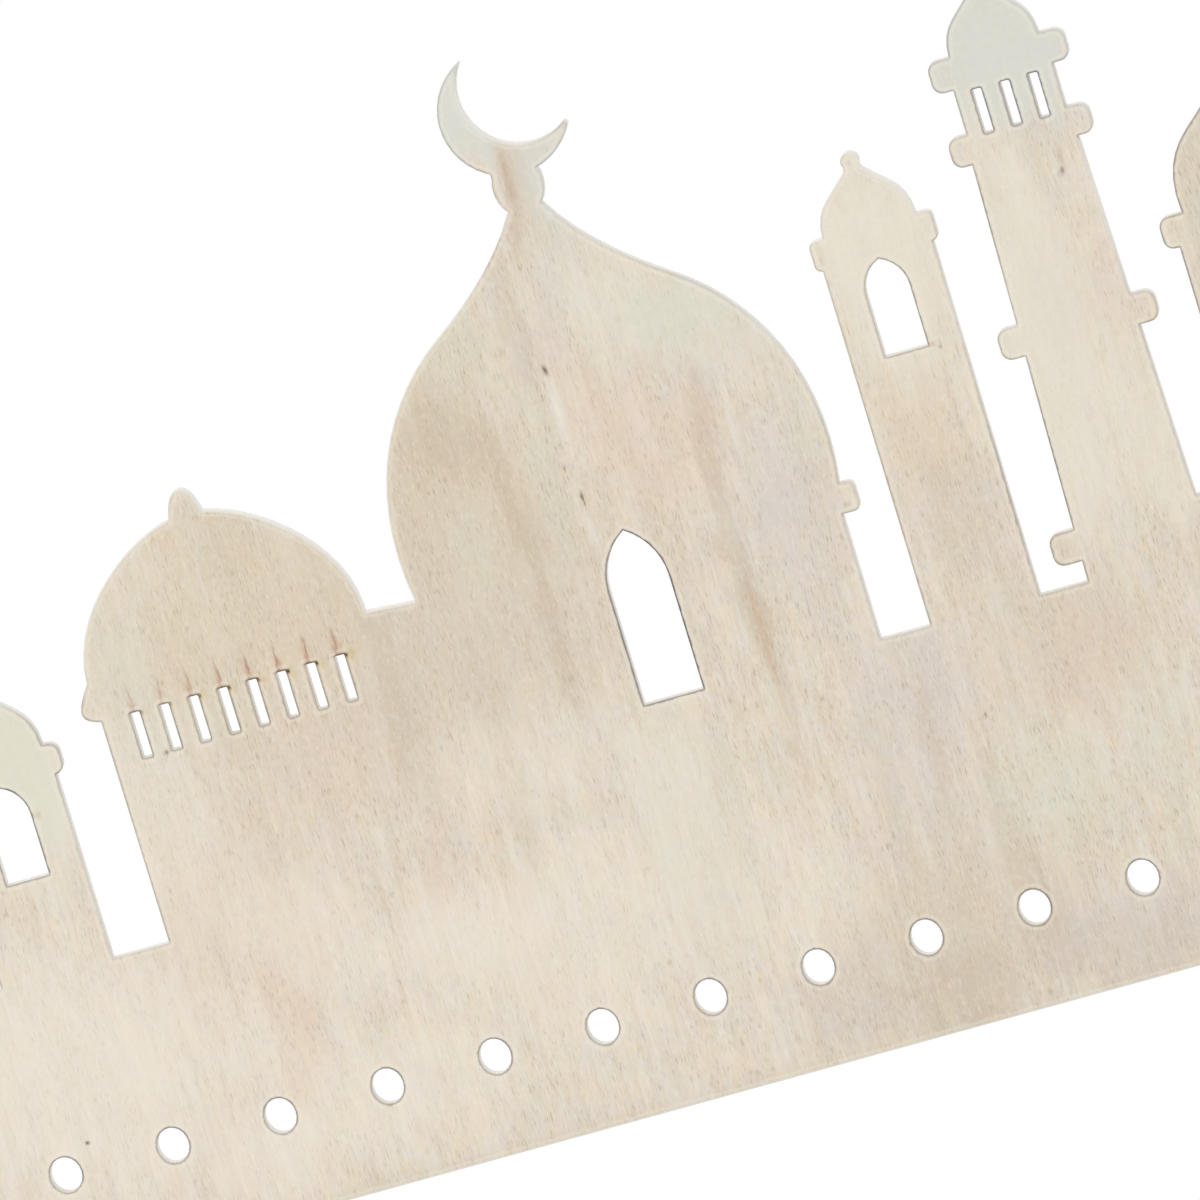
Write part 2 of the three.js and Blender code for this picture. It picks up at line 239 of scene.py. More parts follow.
def veneer(name, node, side):
    """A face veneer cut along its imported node's outline, with a bevel on its shown face."""
    outlines = [finely(o, OUTLINE_STEP) for o in cut_outlines(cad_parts[node], side)]
    largest = max(range(len(outlines)), key=lambda i: np.ptp(outlines[i][:, 0]))
    starts = np.concatenate(outlines)
    ends = np.concatenate([np.roll(o, -1, axis=0) for o in outlines])
    normals = np.concatenate([edge_normals(o) for o in outlines])
    scorch_and_shade = np.concatenate([scorch_and_shade_along(o, i != largest) for i, o in enumerate(outlines)])

    corner_normals = np.concatenate([
        edge_normals(o) + np.roll(edge_normals(o), 1, axis=0) for o in outlines
    ])
    corner_normals /= np.linalg.norm(corner_normals, axis=1)[:, None]
    finder = cut_finder(starts, ends)
    rings = []
    for inset in RINGS:
        ring = np.concatenate([
            starts - inset * corner_normals,
            (starts + ends) / 2 - inset * normals,
        ])
        gap, _ = nearest_cut(ring, *finder)
        rings.append(ring[gap > inset * RING_KEPT])
    points = np.concatenate([starts, *rings])

    # The face's triangles
    stretches = []
    for outline in outlines:
        first, count = len(stretches), len(outline)
        stretches += [(first + i, first + (i + 1) % count) for i in range(count)]
    corners, _, triangles, *_ = geometry.delaunay_2d_cdt(
        [Vector(p) for p in points], stretches, [], 0, 1e-7, False)
    corners = np.array([tuple(c) for c in corners])
    triangles = in_wood([tuple(t) for t in triangles], stretches)

    # Corners of both faces: the shown one is lower along the cut by the bevel
    gap, nearest = nearest_cut(corners, *finder)
    on_cut = gap < BEVEL / 4
    low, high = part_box(node)
    shown, hidden = (low.y, high.y) if side < 0 else (high.y, low.y)
    x, z = corners[:, 0] * MM, corners[:, 1] * MM
    count = len(corners)
    vertices = np.concatenate([
        np.stack([x, shown - side * BEVEL * MM * on_cut, z], axis=1),
        np.stack([x, np.full(count, hidden), z], axis=1),
    ])
    if side > 0:
        triangles = [t[::-1] for t in triangles]
    sides = {pair for a, b, c in triangles for pair in ((a, b), (b, c), (c, a))}
    polygons = list(triangles)
    polygons += [(c + count, b + count, a + count) for a, b, c in triangles]
    polygons += [(b, a, a + count, b + count) for a, b in sorted(sides) if (b, a) not in sides]

    mesh = bpy.data.meshes.new(name)
    mesh.from_pydata(vertices.tolist(), [], polygons)
    used = bmesh.new()
    used.from_mesh(mesh)
    rim_layer = used.verts.layers.float.new("rim")
    # Each point keeps how dark the cut's line is there: its scorch, with painted shade on edges
    # that face away from the light
    scorch_and_shade_layer = used.verts.layers.float.new("scorch_and_shade")
    for i, vertex in enumerate(used.verts):
        vertex[rim_layer] = float(gap[i % count]) if i < count else 0.0
        vertex[scorch_and_shade_layer] = float(scorch_and_shade[nearest[i % count]])
    loose = [v for v in used.verts if not v.link_faces]
    bmesh.ops.delete(used, geom=loose, context="VERTS")
    used.normal_update()
    used.to_mesh(mesh)
    used.free()
    mesh.shade_smooth()
    mesh.set_sharp_from_angle(angle=SHARP_ANGLE)
    piece = bpy.data.objects.new(name, mesh)
    bpy.context.scene.collection.objects.link(piece)
    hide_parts(node)
    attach(piece, "root")
    return piece


# Node helpers

def feed(tree, socket, value):
    """Joins a socket to another node's output, or sets it to a plain value."""
    if isinstance(value, bpy.types.NodeSocket):
        tree.links.new(value, socket)
    else:
        socket.default_value = value


def add(tree, kind, inputs=(), **settings):
    """A new node with its settings and inputs."""
    node = tree.nodes.new(kind)
    for name, value in settings.items():
        setattr(node, name, value)
    for key, value in dict(inputs).items():
        feed(tree, node.inputs[key], value)
    return node


def maths(tree, operation, *values, clamp=False):
    node = add(tree, "ShaderNodeMath", enumerate(values), operation=operation, use_clamp=clamp)
    return node.outputs[0]


def vector_maths(tree, operation, *values):
    return add(tree, "ShaderNodeVectorMath", enumerate(values), operation=operation).outputs[0]


def ramp(tree, value, low, high, to_low=0.0, to_high=1.0):
    """A smooth change from one value to another, as value goes from low to high."""
    node = add(
        tree, "ShaderNodeMapRange",
        {"Value": value, "From Min": low, "From Max": high, "To Min": to_low, "To Max": to_high},
        interpolation_type="SMOOTHSTEP",
    )
    return node.outputs[0]


def tint(tree, amount, under, over):
    """One colour laid over another by an amount."""
    node = add(tree, "ShaderNodeMix", {0: amount, 6: under, 7: over}, data_type="RGBA")
    return node.outputs[2]


def noise(tree, place, detail=2.0, roughness=0.5):
    node = add(
        tree, "ShaderNodeTexNoise",
        {"Vector": place, "Scale": 1.0, "Detail": detail, "Roughness": roughness},
    )
    return node.outputs[0]


def stretched(tree, place, size, shift=(0, 0, 0)):
    """A place in units of a size along X, Y and Z, for a pattern that is as long as that."""
    scale = tuple(1 / s for s in size)
    return vector_maths(tree, "MULTIPLY_ADD", place, scale, shift)


def new_group(name, inputs, outputs):
    """A node group with named sockets, and its entry and exit."""
    group = bpy.data.node_groups.new(name, "ShaderNodeTree")
    for label, kind, *default in inputs:
        socket = group.interface.new_socket(
            name=label, in_out="INPUT", socket_type="NodeSocket" + kind)
        if default:
            socket.default_value = default[0]
    for label, kind in outputs:
        group.interface.new_socket(
            name=label, in_out="OUTPUT", socket_type="NodeSocket" + kind)
    entry = group.nodes.new("NodeGroupInput").outputs
    leave = group.nodes.new("NodeGroupOutput").inputs
    return group, entry, leave


def use(tree, group, **inputs):
    """A node group placed in a tree, with its inputs named in small letters."""
    node = add(tree, "ShaderNodeGroup", node_tree=group)
    for name, value in inputs.items():
        feed(tree, node.inputs[name.replace("_", " ").title()], value)
    return node.outputs


def colour(red, green, blue):
    """A colour as it shows on a screen, 0 to 255, as the light it sends back."""
    shown = [c / 255 for c in (red, green, blue)]
    light = [c / 12.92 if c <= 0.04045 else ((c + 0.055) / 1.055) ** 2.4 for c in shown]
    return (*light, 1)


# Shared effects

def make_grain():
    """Grain of a sliced veneer. Place is in millimetres, and the grain runs along Z."""
    group, entry, leave = new_group(
        "veneer_grain",
        [("Place", "Vector"), ("Shift", "Vector")],
        [("Blush", "Float"), ("Warmth", "Float"), ("Shade", "Float"), ("Streaks", "Float"),
         ("Fibres", "Float"), ("Flecks", "Float"), ("Glints", "Float"), ("Pores", "Float")],
    )
    place = vector_maths(group, "ADD", entry["Place"], entry["Shift"])
    bend = noise(group, stretched(group, place, (40, 40, 90)), detail=1.0)
    wander = add(group, "ShaderNodeCombineXYZ", {0: maths(group, "MULTIPLY", bend, 3.0)})
    place = vector_maths(group, "ADD", place, wander.outputs[0])

    blush = noise(group, stretched(group, place, (5, 5, 9), (7, 0, 3)), 4.0, 0.8)
    warmth = noise(group, stretched(group, place, (4.5, 4.5, 8), (2, 0, 6)), 4.0, 0.8)
    shade = noise(group, stretched(group, place, (6, 6, 20), (5, 0, 1)), 4.0, 0.85)
    streaks = noise(group, stretched(group, place, (1.3, 1.3, 20), (3, 0, 9)), 3.0, 0.7)
    fibres = noise(group, stretched(group, place, (0.4, 1, 8), (4, 0, 1)), 2.0, 0.6)
    flecks = noise(group, stretched(group, place, (0.36, 1, 2.4), (5, 0, 2)), detail=1.5)
    glints = noise(group, stretched(group, place, (0.45, 1, 2.4), (1, 0, 8)), detail=1.0)
    pores = noise(group, stretched(group, place, (0.22, 1, 1.5), (2, 0, 5)), detail=2.0)
    feed(group, leave["Blush"], ramp(group, blush, 0.40, 0.60))
    feed(group, leave["Warmth"], ramp(group, warmth, 0.40, 0.60))
    shade = ramp(group, shade, 0.40, 0.60)
    feed(group, leave["Shade"], shade)
    feed(group, leave["Streaks"], ramp(group, streaks, 0.36, 0.68))
    feed(group, leave["Fibres"], ramp(group, fibres, 0.3, 0.7))
    crowded = maths(group, "MULTIPLY_ADD", shade, 1.2, 0.25)
    flecks = maths(group, "MULTIPLY", ramp(group, flecks, 0.52, 0.72), crowded)
    feed(group, leave["Flecks"], flecks)
    feed(group, leave["Glints"], ramp(group, glints, 0.56, 0.72))
    feed(group, leave["Pores"], pores)
    return group


def make_spot():
    """A soft oval spot: 1 at its centre, about a third at its half size, then nothing."""
    group, entry, leave = new_group(
        "soft_spot",
        [("Place", "Vector"), ("Centre", "Vector"), ("Half Size", "Vector"),
         ("Lean", "Float")],
        [("Mask", "Float")],
    )
    offset = vector_maths(group, "SUBTRACT", entry["Place"], entry["Centre"])
    flat = vector_maths(group, "MULTIPLY", offset, (1, 0, 1))
    turned = add(
        group, "ShaderNodeVectorRotate",
        {"Vector": flat, "Angle": maths(group, "RADIANS", entry["Lean"])},
        rotation_type="Y_AXIS",
    )
    scaled = vector_maths(group, "DIVIDE", turned.outputs[0], entry["Half Size"])
    squared = add(group, "ShaderNodeVectorMath", {0: scaled, 1: scaled}, operation="DOT_PRODUCT")
    faded = maths(group, "EXPONENT", maths(group, "MULTIPLY", squared.outputs["Value"], -1.0))
    feed(group, leave["Mask"], faded)
    return group


def make_scorch_and_shade_line():
    """The line along a cut, the pale halo beyond it, and the pale edge where the line is weak. On
    the veneers Strength is the cut's scorch with painted shade on edges that face away from the
    light, so the line is in part painted shade and the pale edge in part a painted highlight. Rim
    is the distance to the cut in mm."""
    group, entry, leave = new_group(
        "scorch_and_shade_line",
        [("Place", "Vector"), ("Rim", "Float"), ("Strength", "Float"), ("Width", "Float")],
        [("Line", "Float"), ("Halo", "Float"), ("Clean And Lit", "Float")],
    )
    ragged = noise(group, stretched(group, entry["Place"], (1.6, 1.6, 1.6)), detail=2.0)
    uneven = ramp(group, ragged, 0.25, 0.7, 0.72, 1.12)
    reach = maths(group, "MULTIPLY", entry["Width"], uneven)
    share = maths(group, "DIVIDE", entry["Rim"], reach)
    line = ramp(group, share, 0.6, 1.5, 1.0, 0.0)
    line = maths(group, "MULTIPLY", line, ramp(group, entry["Rim"], 0.0, 0.16, 0.45, 1.0))
    feed(group, leave["Line"], maths(group, "MULTIPLY", line, entry["Strength"], clamp=True))
    rise = ramp(group, share, 1.5, 2.0)
    fall = ramp(group, share, 2.6, 4.6, 1.0, 0.0)
    feed(group, leave["Halo"], maths(group, "MULTIPLY", rise, fall))
    # Painted highlight in part: where the line is weak because an edge faces the light, the edge
    # is drawn pale
    weak_line = maths(group, "SUBTRACT", 1.0, maths(group, "MULTIPLY", entry["Strength"], 3.0),
                    clamp=True)
    edge = ramp(group, entry["Rim"], 0.05, 0.70, 1.0, 0.0)
    feed(group, leave["Clean And Lit"], maths(group, "MULTIPLY", weak_line, edge))
    return group


def make_slot_burns():
    """Burns at the top of each slot of a row. Burn is a dark spot at the slot's right corner,
    Scald the yellowed wood beside it, and Smoke and Plume a thin and a wide trail over it."""
    group, entry, leave = new_group(
        "slot_burns",
        [("Place", "Vector"), ("First", "Float"), ("Pitch", "Float"), ("Count", "Float"),
         ("Top", "Float"), ("Corner", "Float")],
        [("Burn", "Float"), ("Scald", "Float"), ("Smoke", "Float"), ("Plume", "Float")],
    )
    parts = add(group, "ShaderNodeSeparateXYZ", {0: entry["Place"]}).outputs
    steps = maths(group, "DIVIDE", maths(group, "SUBTRACT", parts[0], entry["First"]),
                  entry["Pitch"])
    index = maths(group, "FLOOR", maths(group, "ADD", steps, 0.5))
    within = maths(group, "MULTIPLY", maths(group, "SUBTRACT", steps, index), entry["Pitch"])
    from_corner = maths(group, "SUBTRACT", within, entry["Corner"])
    height = maths(group, "SUBTRACT", parts[2], entry["Top"])
    in_row = maths(
        group, "MULTIPLY",
        maths(group, "GREATER_THAN", index, -0.5),
        maths(group, "LESS_THAN", index, maths(group, "SUBTRACT", entry["Count"], 0.5)),
    )
    local = add(group, "ShaderNodeCombineXYZ", {0: from_corner, 2: height}).outputs[0]
    chance = add(group, "ShaderNodeTexWhiteNoise", {"W": index}, noise_dimensions="1D").outputs[0]
    later = ramp(group, maths(group, "DIVIDE", index, entry["Count"]), 0.0, 0.6, 0.45, 0.9)
    strength = maths(group, "MULTIPLY", in_row,
                     maths(group, "ADD", later, maths(group, "MULTIPLY", chance, 0.15)))
    trails = (
        ("Burn", (0.4, 0, -0.35), (0.44, 1, 0.5), 0),
        ("Burn", (-1.0, 0, 0.08), (1.2, 1, 0.2), 0),
        ("Scald", (0.9, 0, -0.6), (1.1, 1, 1.2), 0),
        ("Smoke", (-1.1, 0, 3.2), (0.3, 1, 2.7), 4),
        ("Smoke", (-1.5, 0, 0.9), (0.34, 1, 1.3), 8),
        ("Plume", (-1.3, 0, 1.8), (0.95, 1, 3.0), 7),
    )
    sums = {}
    for name, centre, half_size, lean in trails:
        spot = use(group, SOFT_SPOT, place=local, centre=centre, half_size=half_size,
                   lean=float(lean))
        sums[name] = maths(group, "ADD", spot["Mask"], sums.get(name, 0.0), clamp=True)
    for name, total in sums.items():
        feed(group, leave[name], maths(group, "MULTIPLY", total, strength))
    return group


VENEER_GRAIN = make_grain()
SOFT_SPOT = make_spot()
SCORCH_AND_SHADE_LINE = make_scorch_and_shade_line()
SLOT_BURNS = make_slot_burns()

# Raw wood

CREAM = colour(250, 243, 231)
TONES = {
    "pale": colour(240, 232, 217),
    "fresh": colour(231, 226, 209),
    "sage": colour(213, 214, 195),
    "rose": colour(227, 203, 184),
    "honey": colour(220, 203, 167),
    "lilac": colour(210, 202, 199),
    "mist": colour(216, 217, 208),
    "tan": colour(209, 195, 175),
    "umber": colour(190, 172, 146),
    "rust": colour(196, 150, 112),
    "dark": colour(104, 78, 60),
    "frost": colour(236, 234, 228),
}
BURN = colour(78, 56, 40)
SCALD = colour(210, 190, 138)
SMOKE = colour(146, 104, 82)
PLUME = colour(214, 176, 150)
LINE = colour(100, 98, 110)
BACK_LINE = colour(120, 92, 70)
FLECK = colour(188, 171, 147)
GLINT = colour(243, 236, 221)

# The core's cut edge, and the floor
EDGE = colour(251, 249, 244)
EDGE_CLOUD = colour(245, 241, 233)
EDGE_BARS = colour(200, 184, 164)
EDGE_GLUE = colour(164, 148, 132)
EDGE_CHARRED = colour(138, 130, 128)
FLOOR = colour(246, 246, 246)
FLOOR_DUST = colour(242, 242, 242)

# Broad stains in the front face's wood: tone, x, z, half width, half length, lean, strength
FRONT_STAINS = (
    ("tan", -28, 74, 40, 46, 0, 0.55),       # hall and left of the main dome
    ("tan", -78, 62, 36, 40, 0, 0.30),       # low dome
    ("honey", -76, 78, 30, 26, 0, 0.25),
    ("sage", -104, 62, 7, 30, 0, 0.35),
    ("rose", -66, 46, 16, 22, 0, 0.25),
    ("umber", -76, 96, 10, 12, 0, 0.16),
    ("sage", -78, 58, 27, 5, 0, 0.25),       # between the slots of the hall
    ("umber", -47, 54, 4, 40, 0, 0.24),
    ("umber", -28, 28, 3, 30, 0, 0.22),
    ("honey", -18, 96, 16, 30, 0, 0.20),     # left flank of the main dome
    ("umber", -20, 104, 10, 12, 0, 0.36),
    ("umber", -11, 92, 3.5, 20, 0, 0.28),
    ("umber", -9, 62, 3.5, 26, 0, 0.28),
    ("umber", 1, 122, 4, 16, 0, 0.24),
    ("sage", -1, 90, 4, 22, 0, 0.35),
    ("sage", -13, 122, 10, 12, 0, 0.35),
    ("lilac", 5, 118, 8, 8, 0, 0.30),
    ("rose", 23, 90, 13, 17, 0, 0.40),
    ("rose", 12, 104, 6, 14, 0, 0.30),
    ("umber", 38, 97, 3.5, 12, 0, 0.26),     # brown streak at its right
    ("umber", 34, 66, 3.0, 28, 0, 0.38),
    ("umber", 35, 30, 2.2, 24, 0, 0.28),
    ("rust", 36, 90, 4, 16, 0, 0.14),
    ("lilac", 48, 66, 13, 26, 0, 0.38),
    ("lilac", 46.5, 70, 6, 8, 0, 0.38),
    ("sage", 56, 88, 6, 18, 0, 0.30),
    ("sage", -22, 75, 6, 13, 0, 0.28),
    ("tan", 20, 66, 7, 20, 0, 0.20),
    ("lilac", 60, 14, 14, 30, 0, 0.35),
    ("lilac", 70, 24, 8, 12, 0, 0.30),
    ("umber", 52, 2, 3, 24, 0, 0.16),
    ("umber", 74, -16, 3, 30, 0, 0.24),
    ("umber", 64, 4, 2.5, 22, 0, 0.20),
    ("tan", 62, -32, 26, 22, 0, 0.52),       # low right
    ("umber", 54, -48, 14, 12, 0, 0.34),
    ("umber", 32, -42, 14, 15, 0, 0.24),
    ("lilac", 30, -44, 14, 12, 0, 0.25),
    ("umber", 78, -40, 6, 12, 0, 0.30),
    ("lilac", 98, -44, 26, 12, 0, 0.45),
    ("umber", 98, -48, 22, 10, 0, 0.20),
    ("rose", 103, 18, 12, 13, 0, 0.45),
    ("tan", 98, 26, 22, 20, 0, 0.38),
    ("sage", 88, -8, 17, 14, 0, 0.45),
    ("sage", 112, -6, 8, 20, 0, 0.35),
    ("rose", -50, 12, 4, 14, 0, 0.40),
    ("rose", -92, -18, 9, 20, 0, 0.30),
    ("rose", -98, 10, 24, 26, 0, 0.32),
    ("rose", -36, -8, 5, 22, 0, 0.25),
    ("rose", -112, -34, 10, 16, 0, 0.25),
    ("tan", -92, 16, 24, 18, 0, 0.12),
    ("rose", 81, 80, 7, 15, 0, 0.45),        # minaret
    ("honey", 82, 78, 9, 17, 0, 0.25),
    ("tan", 84, 58, 10, 16, 0, 0.45),
    ("tan", 166, 104, 18, 40, 0, 0.50),      # pavilion
    ("sage", 156, 90, 6, 30, 0, 0.35),
)

# Bleached places, where little of the grain shows, in the same way
FRONT_BLEACHED = (
    ("fresh", 34, 124, 24, 15, 0, 0.42),     # upper right of the main dome
    ("mist", 40, 112, 20, 15, 0, 0.30),
    ("mist", 14, 132, 10, 12, 0, 0.25),
    ("sage", 38, 118, 18, 10, 0, 0.25),
    ("sage", 7, 4, 13, 34, 0, 0.35),         # under the main window
    ("pale", 6, -8, 13, 30, 0, 0.25),
    ("pale", 28, -16, 12, 24, 0, 0.25),
    ("pale", -140, -14, 34, 34, 0, 0.50),    # low left
    ("pale", -74, -34, 36, 14, 0, 0.36),
    ("pale", -26, 30, 22, 13, 0, 0.30),
    ("pale", 5, 22, 12, 12, 0, 0.20),
    ("pale", -52, -5, 16, 14, 0, 0.45),
    ("pale", -74, 0, 12, 14, 0, 0.35),
    ("pale", -102, -16, 12, 13, 0, 0.35),
    ("pale", -103, 38, 14, 26, 0, 0.34),
    ("pale", -88, 12, 14, 14, 0, 0.30),
    ("pale", -104, -42, 18, 10, 0, 0.35),
    ("pale", -24, -12, 22, 24, 0, 0.40),
    ("fresh", 84, 116, 17, 28, 0, 0.70),     # minaret
    ("fresh", 114, 92, 12, 46, 0, 0.68),     # tall minaret
    ("rose", 131, 96, 5, 20, 0, 0.24),
    ("fresh", 132, 62, 12, 22, 0, 0.50),
    ("lilac", 118, 96, 6, 16, 0, 0.18),
    ("mist", 124, 154, 22, 20, 0, 0.92),
    ("mist", 6, 177, 30, 20, 0, 0.97),       # crescent
    ("mist", 17, 153, 7, 10, 0, 0.80),
    ("fresh", -140, 56, 26, 24, 0, 0.80),    # low towers
    ("sage", -132, 60, 8, 24, 0, 0.35),
)

# Small marks of the front face, in the same way
FRONT_MARKS = (
    ("tan", 12, 156, 3.2, 10, 0, 0.45),      # bead and foot of the crescent
    ("rust", 10.1, 157, 1.3, 8, 0, 0.42),
    ("umber", 9.9, 158.4, 0.7, 2.2, 0, 0.50),
    ("umber", 9.8, 152.4, 0.8, 2.4, 0, 0.40),
    ("umber", 8.2, 144, 1.4, 6, -8, 0.42),
    ("frost", 5.6, 101, 1.7, 8, 0, 0.30),    # pale runs under two knots
    ("frost", 5.4, 104, 0.7, 3.2, 0, 0.35),
    ("frost", 4.9, 76, 0.9, 4, 0, 0.40),
    ("dark", 5.5, 112.3, 0.45, 1.2, 4, 0.85),
    ("dark", 5.2, 82.4, 0.34, 1.6, 0, 0.95),
    ("dark", 3.2, 90, 0.3, 0.6, 0, 0.5),
    ("dark", 128.2, 124.1, 0.32, 0.9, 0, 0.65),
    ("umber", 128.7, 126.8, 0.5, 2.8, 0, 0.60),
    ("dark", -100.3, 52.9, 0.55, 0.55, 0, 1.0),
    ("dark", -143.1, -26.9, 0.45, 0.45, 0, 0.9),
    ("dark", 76.9, 11.9, 0.22, 0.7, 0, 0.5),
    ("rust", 89.4, 94.7, 0.7, 0.6, 0, 0.6),
    ("dark", 91.2, 93.7, 0.45, 0.5, 0, 0.45),
    ("umber", -132.3, 47.1, 0.7, 0.9, 0, 0.5),
    ("umber", 60.9, 65.3, 0.7, 0.7, 0, 0.5),
    ("rust", -75.7, -36.8, 0.6, 0.9, 0, 0.4),
    ("rust", -125.8, -35.8, 0.6, 0.9, 0, 0.4),
    ("rust", -71.6, 51.9, 0.25, 0.9, -14, 0.45),    # under the sixth slot of the hall
    ("rust", -70.8, 51.9, 0.25, 0.9, 14, 0.45),
    ("umber", -64.5, 51.1, 0.5, 0.7, 0, 0.45),
    ("honey", -53.5, 63.4, 1.5, 1.4, 0, 0.7),       # beside and over the last one
    ("rust", -54.2, 63.4, 0.8, 0.8, 0, 0.5),
    ("dark", -56.0, 65.2, 0.3, 0.7, 0, 0.4),
    ("dark", -96.9, 68.0, 0.3, 0.5, 0, 0.35),       # over the second one
    ("umber", 0, -55, 260, 2.2, 0, 0.22),           # along the bottom edge
    ("rust", 35, 44, 0.8, 12, 0, 0.35),
    ("umber", 78.5, -30, 0.8, 9, 0, 0.4),
)

# Slots of the hall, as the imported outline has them
SLOTS = [o for o in cut_outlines(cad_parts["front_veneer"], -1) if is_slot(o)]
HALL_SLOTS = sorted((o for o in SLOTS if o[:, 0].max() < 0), key=lambda o: o[:, 0].min())
SLOT_CENTRES = [(o[:, 0].min() + o[:, 0].max()) / 2 for o in HALL_SLOTS]
SLOT_PITCH = (SLOT_CENTRES[-1] - SLOT_CENTRES[0]) / (len(SLOT_CENTRES) - 1)


def place_in_mm(tree):
    """The place on the object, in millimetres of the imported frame."""
    where = add(tree, "ShaderNodeTexCoord").outputs["Object"]
    return add(tree, "ShaderNodeVectorMath", {0: where, "Scale": float(MM_PER_M)},
               operation="SCALE").outputs[0]


def attribute(tree, name):
    return add(tree, "ShaderNodeAttribute", attribute_type="GEOMETRY",
               attribute_name=name).outputs["Fac"]


def spot_field(tree, place, spots):
    """The sum of soft round spots, as spot_sum gives it for points."""
    total = 0.0
    for x, z, radius, strength in spots:
        spot = use(tree, SOFT_SPOT, place=place, centre=(x, 0, z), half_size=(radius, 1, radius))
        total = maths(tree, "MULTIPLY_ADD", spot["Mask"], strength, total)
    return total


def new_material(name):
    material = bpy.data.materials.new(name)
    material.use_nodes = True
    tree = material.node_tree
    tree.nodes.clear()
    return material, tree


def finish_material(tree, base, roughness, height, strength=0.1, distance=0.00005):
    """The wood's shader, with its relief."""
    bump = add(tree, "ShaderNodeBump",
               {"Strength": strength, "Distance": distance, "Height": height})
    wood = add(tree, "ShaderNodeBsdfPrincipled", {
        "Base Color": base, "Roughness": roughness, "Normal": bump.outputs[0],
        "Specular IOR Level": 0.18,
    })
    add(tree, "ShaderNodeOutputMaterial", {"Surface": wood.outputs[0]})


def raw_veneer(tree, place, shift):
    """The colour and the relief of bare veneer."""
    grain = use(tree, VENEER_GRAIN, place=place, shift=shift)
    blush = tint(tree, grain["Blush"], TONES["sage"], TONES["rose"])
    warmth = tint(tree, grain["Warmth"], TONES["lilac"], TONES["honey"])
    base = tint(tree, 0.42, CREAM, blush)
    base = tint(tree, 0.34, base, warmth)
    base = tint(tree, maths(tree, "MULTIPLY", grain["Shade"], 0.18), base, TONES["umber"])
    base = tint(tree, maths(tree, "MULTIPLY", grain["Streaks"], 0.20), base, TONES["umber"])
    base = tint(tree, maths(tree, "MULTIPLY", grain["Fibres"], 0.07), base, TONES["umber"])
    return base, grain


def stained(tree, base, stains, place, ragged=None):
    """A colour with stains laid over it one by one. Ragged adds a fray along the grain."""
    for tone, x, z, half_width, half_length, lean, strength in stains:
        amount = use(tree, SOFT_SPOT, place=place, centre=(x, 0, z),
                     half_size=(half_width, 1, half_length), lean=lean)["Mask"]
        if ragged is None:
            amount = maths(tree, "MULTIPLY", amount, strength)
        else:
            frayed = maths(tree, "ADD", amount, ragged)
            amount = ramp(tree, frayed, 0.1, 0.85, 0.0, strength)
        base = tint(tree, amount, base, TONES[tone])
    return base


def front_wood():
    material, tree = new_material("front_veneer_wood")
    place = place_in_mm(tree)
    base, grain = raw_veneer(tree, place, (0, 0, 0))

    drift = noise(tree, stretched(tree, place, (5, 5, 16)), detail=3.0, roughness=0.6)
    offset = add(tree, "ShaderNodeCombineXYZ", {
        0: maths(tree, "MULTIPLY", maths(tree, "SUBTRACT", drift, 0.5), 9.0),
        2: maths(tree, "MULTIPLY", maths(tree, "SUBTRACT", drift, 0.5), 22.0),
    }).outputs[0]
    wandering = vector_maths(tree, "ADD", place, offset)
    frayed = noise(tree, stretched(tree, place, (2, 2, 22)), detail=4.0, roughness=0.75)
    ragged = maths(tree, "MULTIPLY", maths(tree, "SUBTRACT", frayed, 0.5), 0.9)
    base = stained(tree, base, FRONT_STAINS, wandering, ragged)
    base = tint(tree, maths(tree, "MULTIPLY", grain["Flecks"], 0.55), base, FLECK)
    base = tint(tree, maths(tree, "MULTIPLY", grain["Glints"], 0.26), base, GLINT)
    base = stained(tree, base, FRONT_BLEACHED, wandering, ragged)

    ripple = noise(tree, stretched(tree, place, (0.9, 1, 3.5)), detail=2.0)
    nudge = add(tree, "ShaderNodeCombineXYZ", {
        0: maths(tree, "MULTIPLY", maths(tree, "SUBTRACT", ripple, 0.5), 1.6),
    }).outputs[0]
    rippled = vector_maths(tree, "ADD", place, nudge)
    base = stained(tree, base, FRONT_MARKS, rippled)

    burns = use(
        tree, SLOT_BURNS, place=rippled, first=SLOT_CENTRES[0], pitch=SLOT_PITCH,
        count=float(len(SLOT_CENTRES)), top=float(HALL_SLOTS[0][:, 1].max()),
        corner=float(np.ptp(HALL_SLOTS[0][:, 0]) / 2),
    )
    base = tint(tree, maths(tree, "MULTIPLY", burns["Plume"], 0.6), base, PLUME)
    base = tint(tree, maths(tree, "MULTIPLY", burns["Smoke"], 0.68), base, SMOKE)
    base = tint(tree, maths(tree, "MULTIPLY", burns["Scald"], 0.8), base, SCALD)

    rim, scorch_and_shade = attribute(tree, "rim"), attribute(tree, "scorch_and_shade")
    # Line along the cut: scorch, and painted shade on edges that face away from the light
    line = use(tree, SCORCH_AND_SHADE_LINE, place=place, rim=rim, strength=scorch_and_shade, width=0.38)
    base = tint(tree, maths(tree, "MULTIPLY", line["Halo"], 0.35), base, TONES["pale"])
    # Pale edge where the line is weak: clean places, and in part a painted highlight on edges
    # that face the light
    base = tint(tree, maths(tree, "MULTIPLY", line["Clean And Lit"], 0.7), base, TONES["frost"])
    base = tint(tree, line["Line"], base, LINE)
    base = tint(tree, burns["Burn"], base, BURN)
    roughness = ramp(tree, grain["Streaks"], 0.0, 1.0, 0.62, 0.72)
    finish_material(tree, base, roughness, grain["Pores"])
    return material


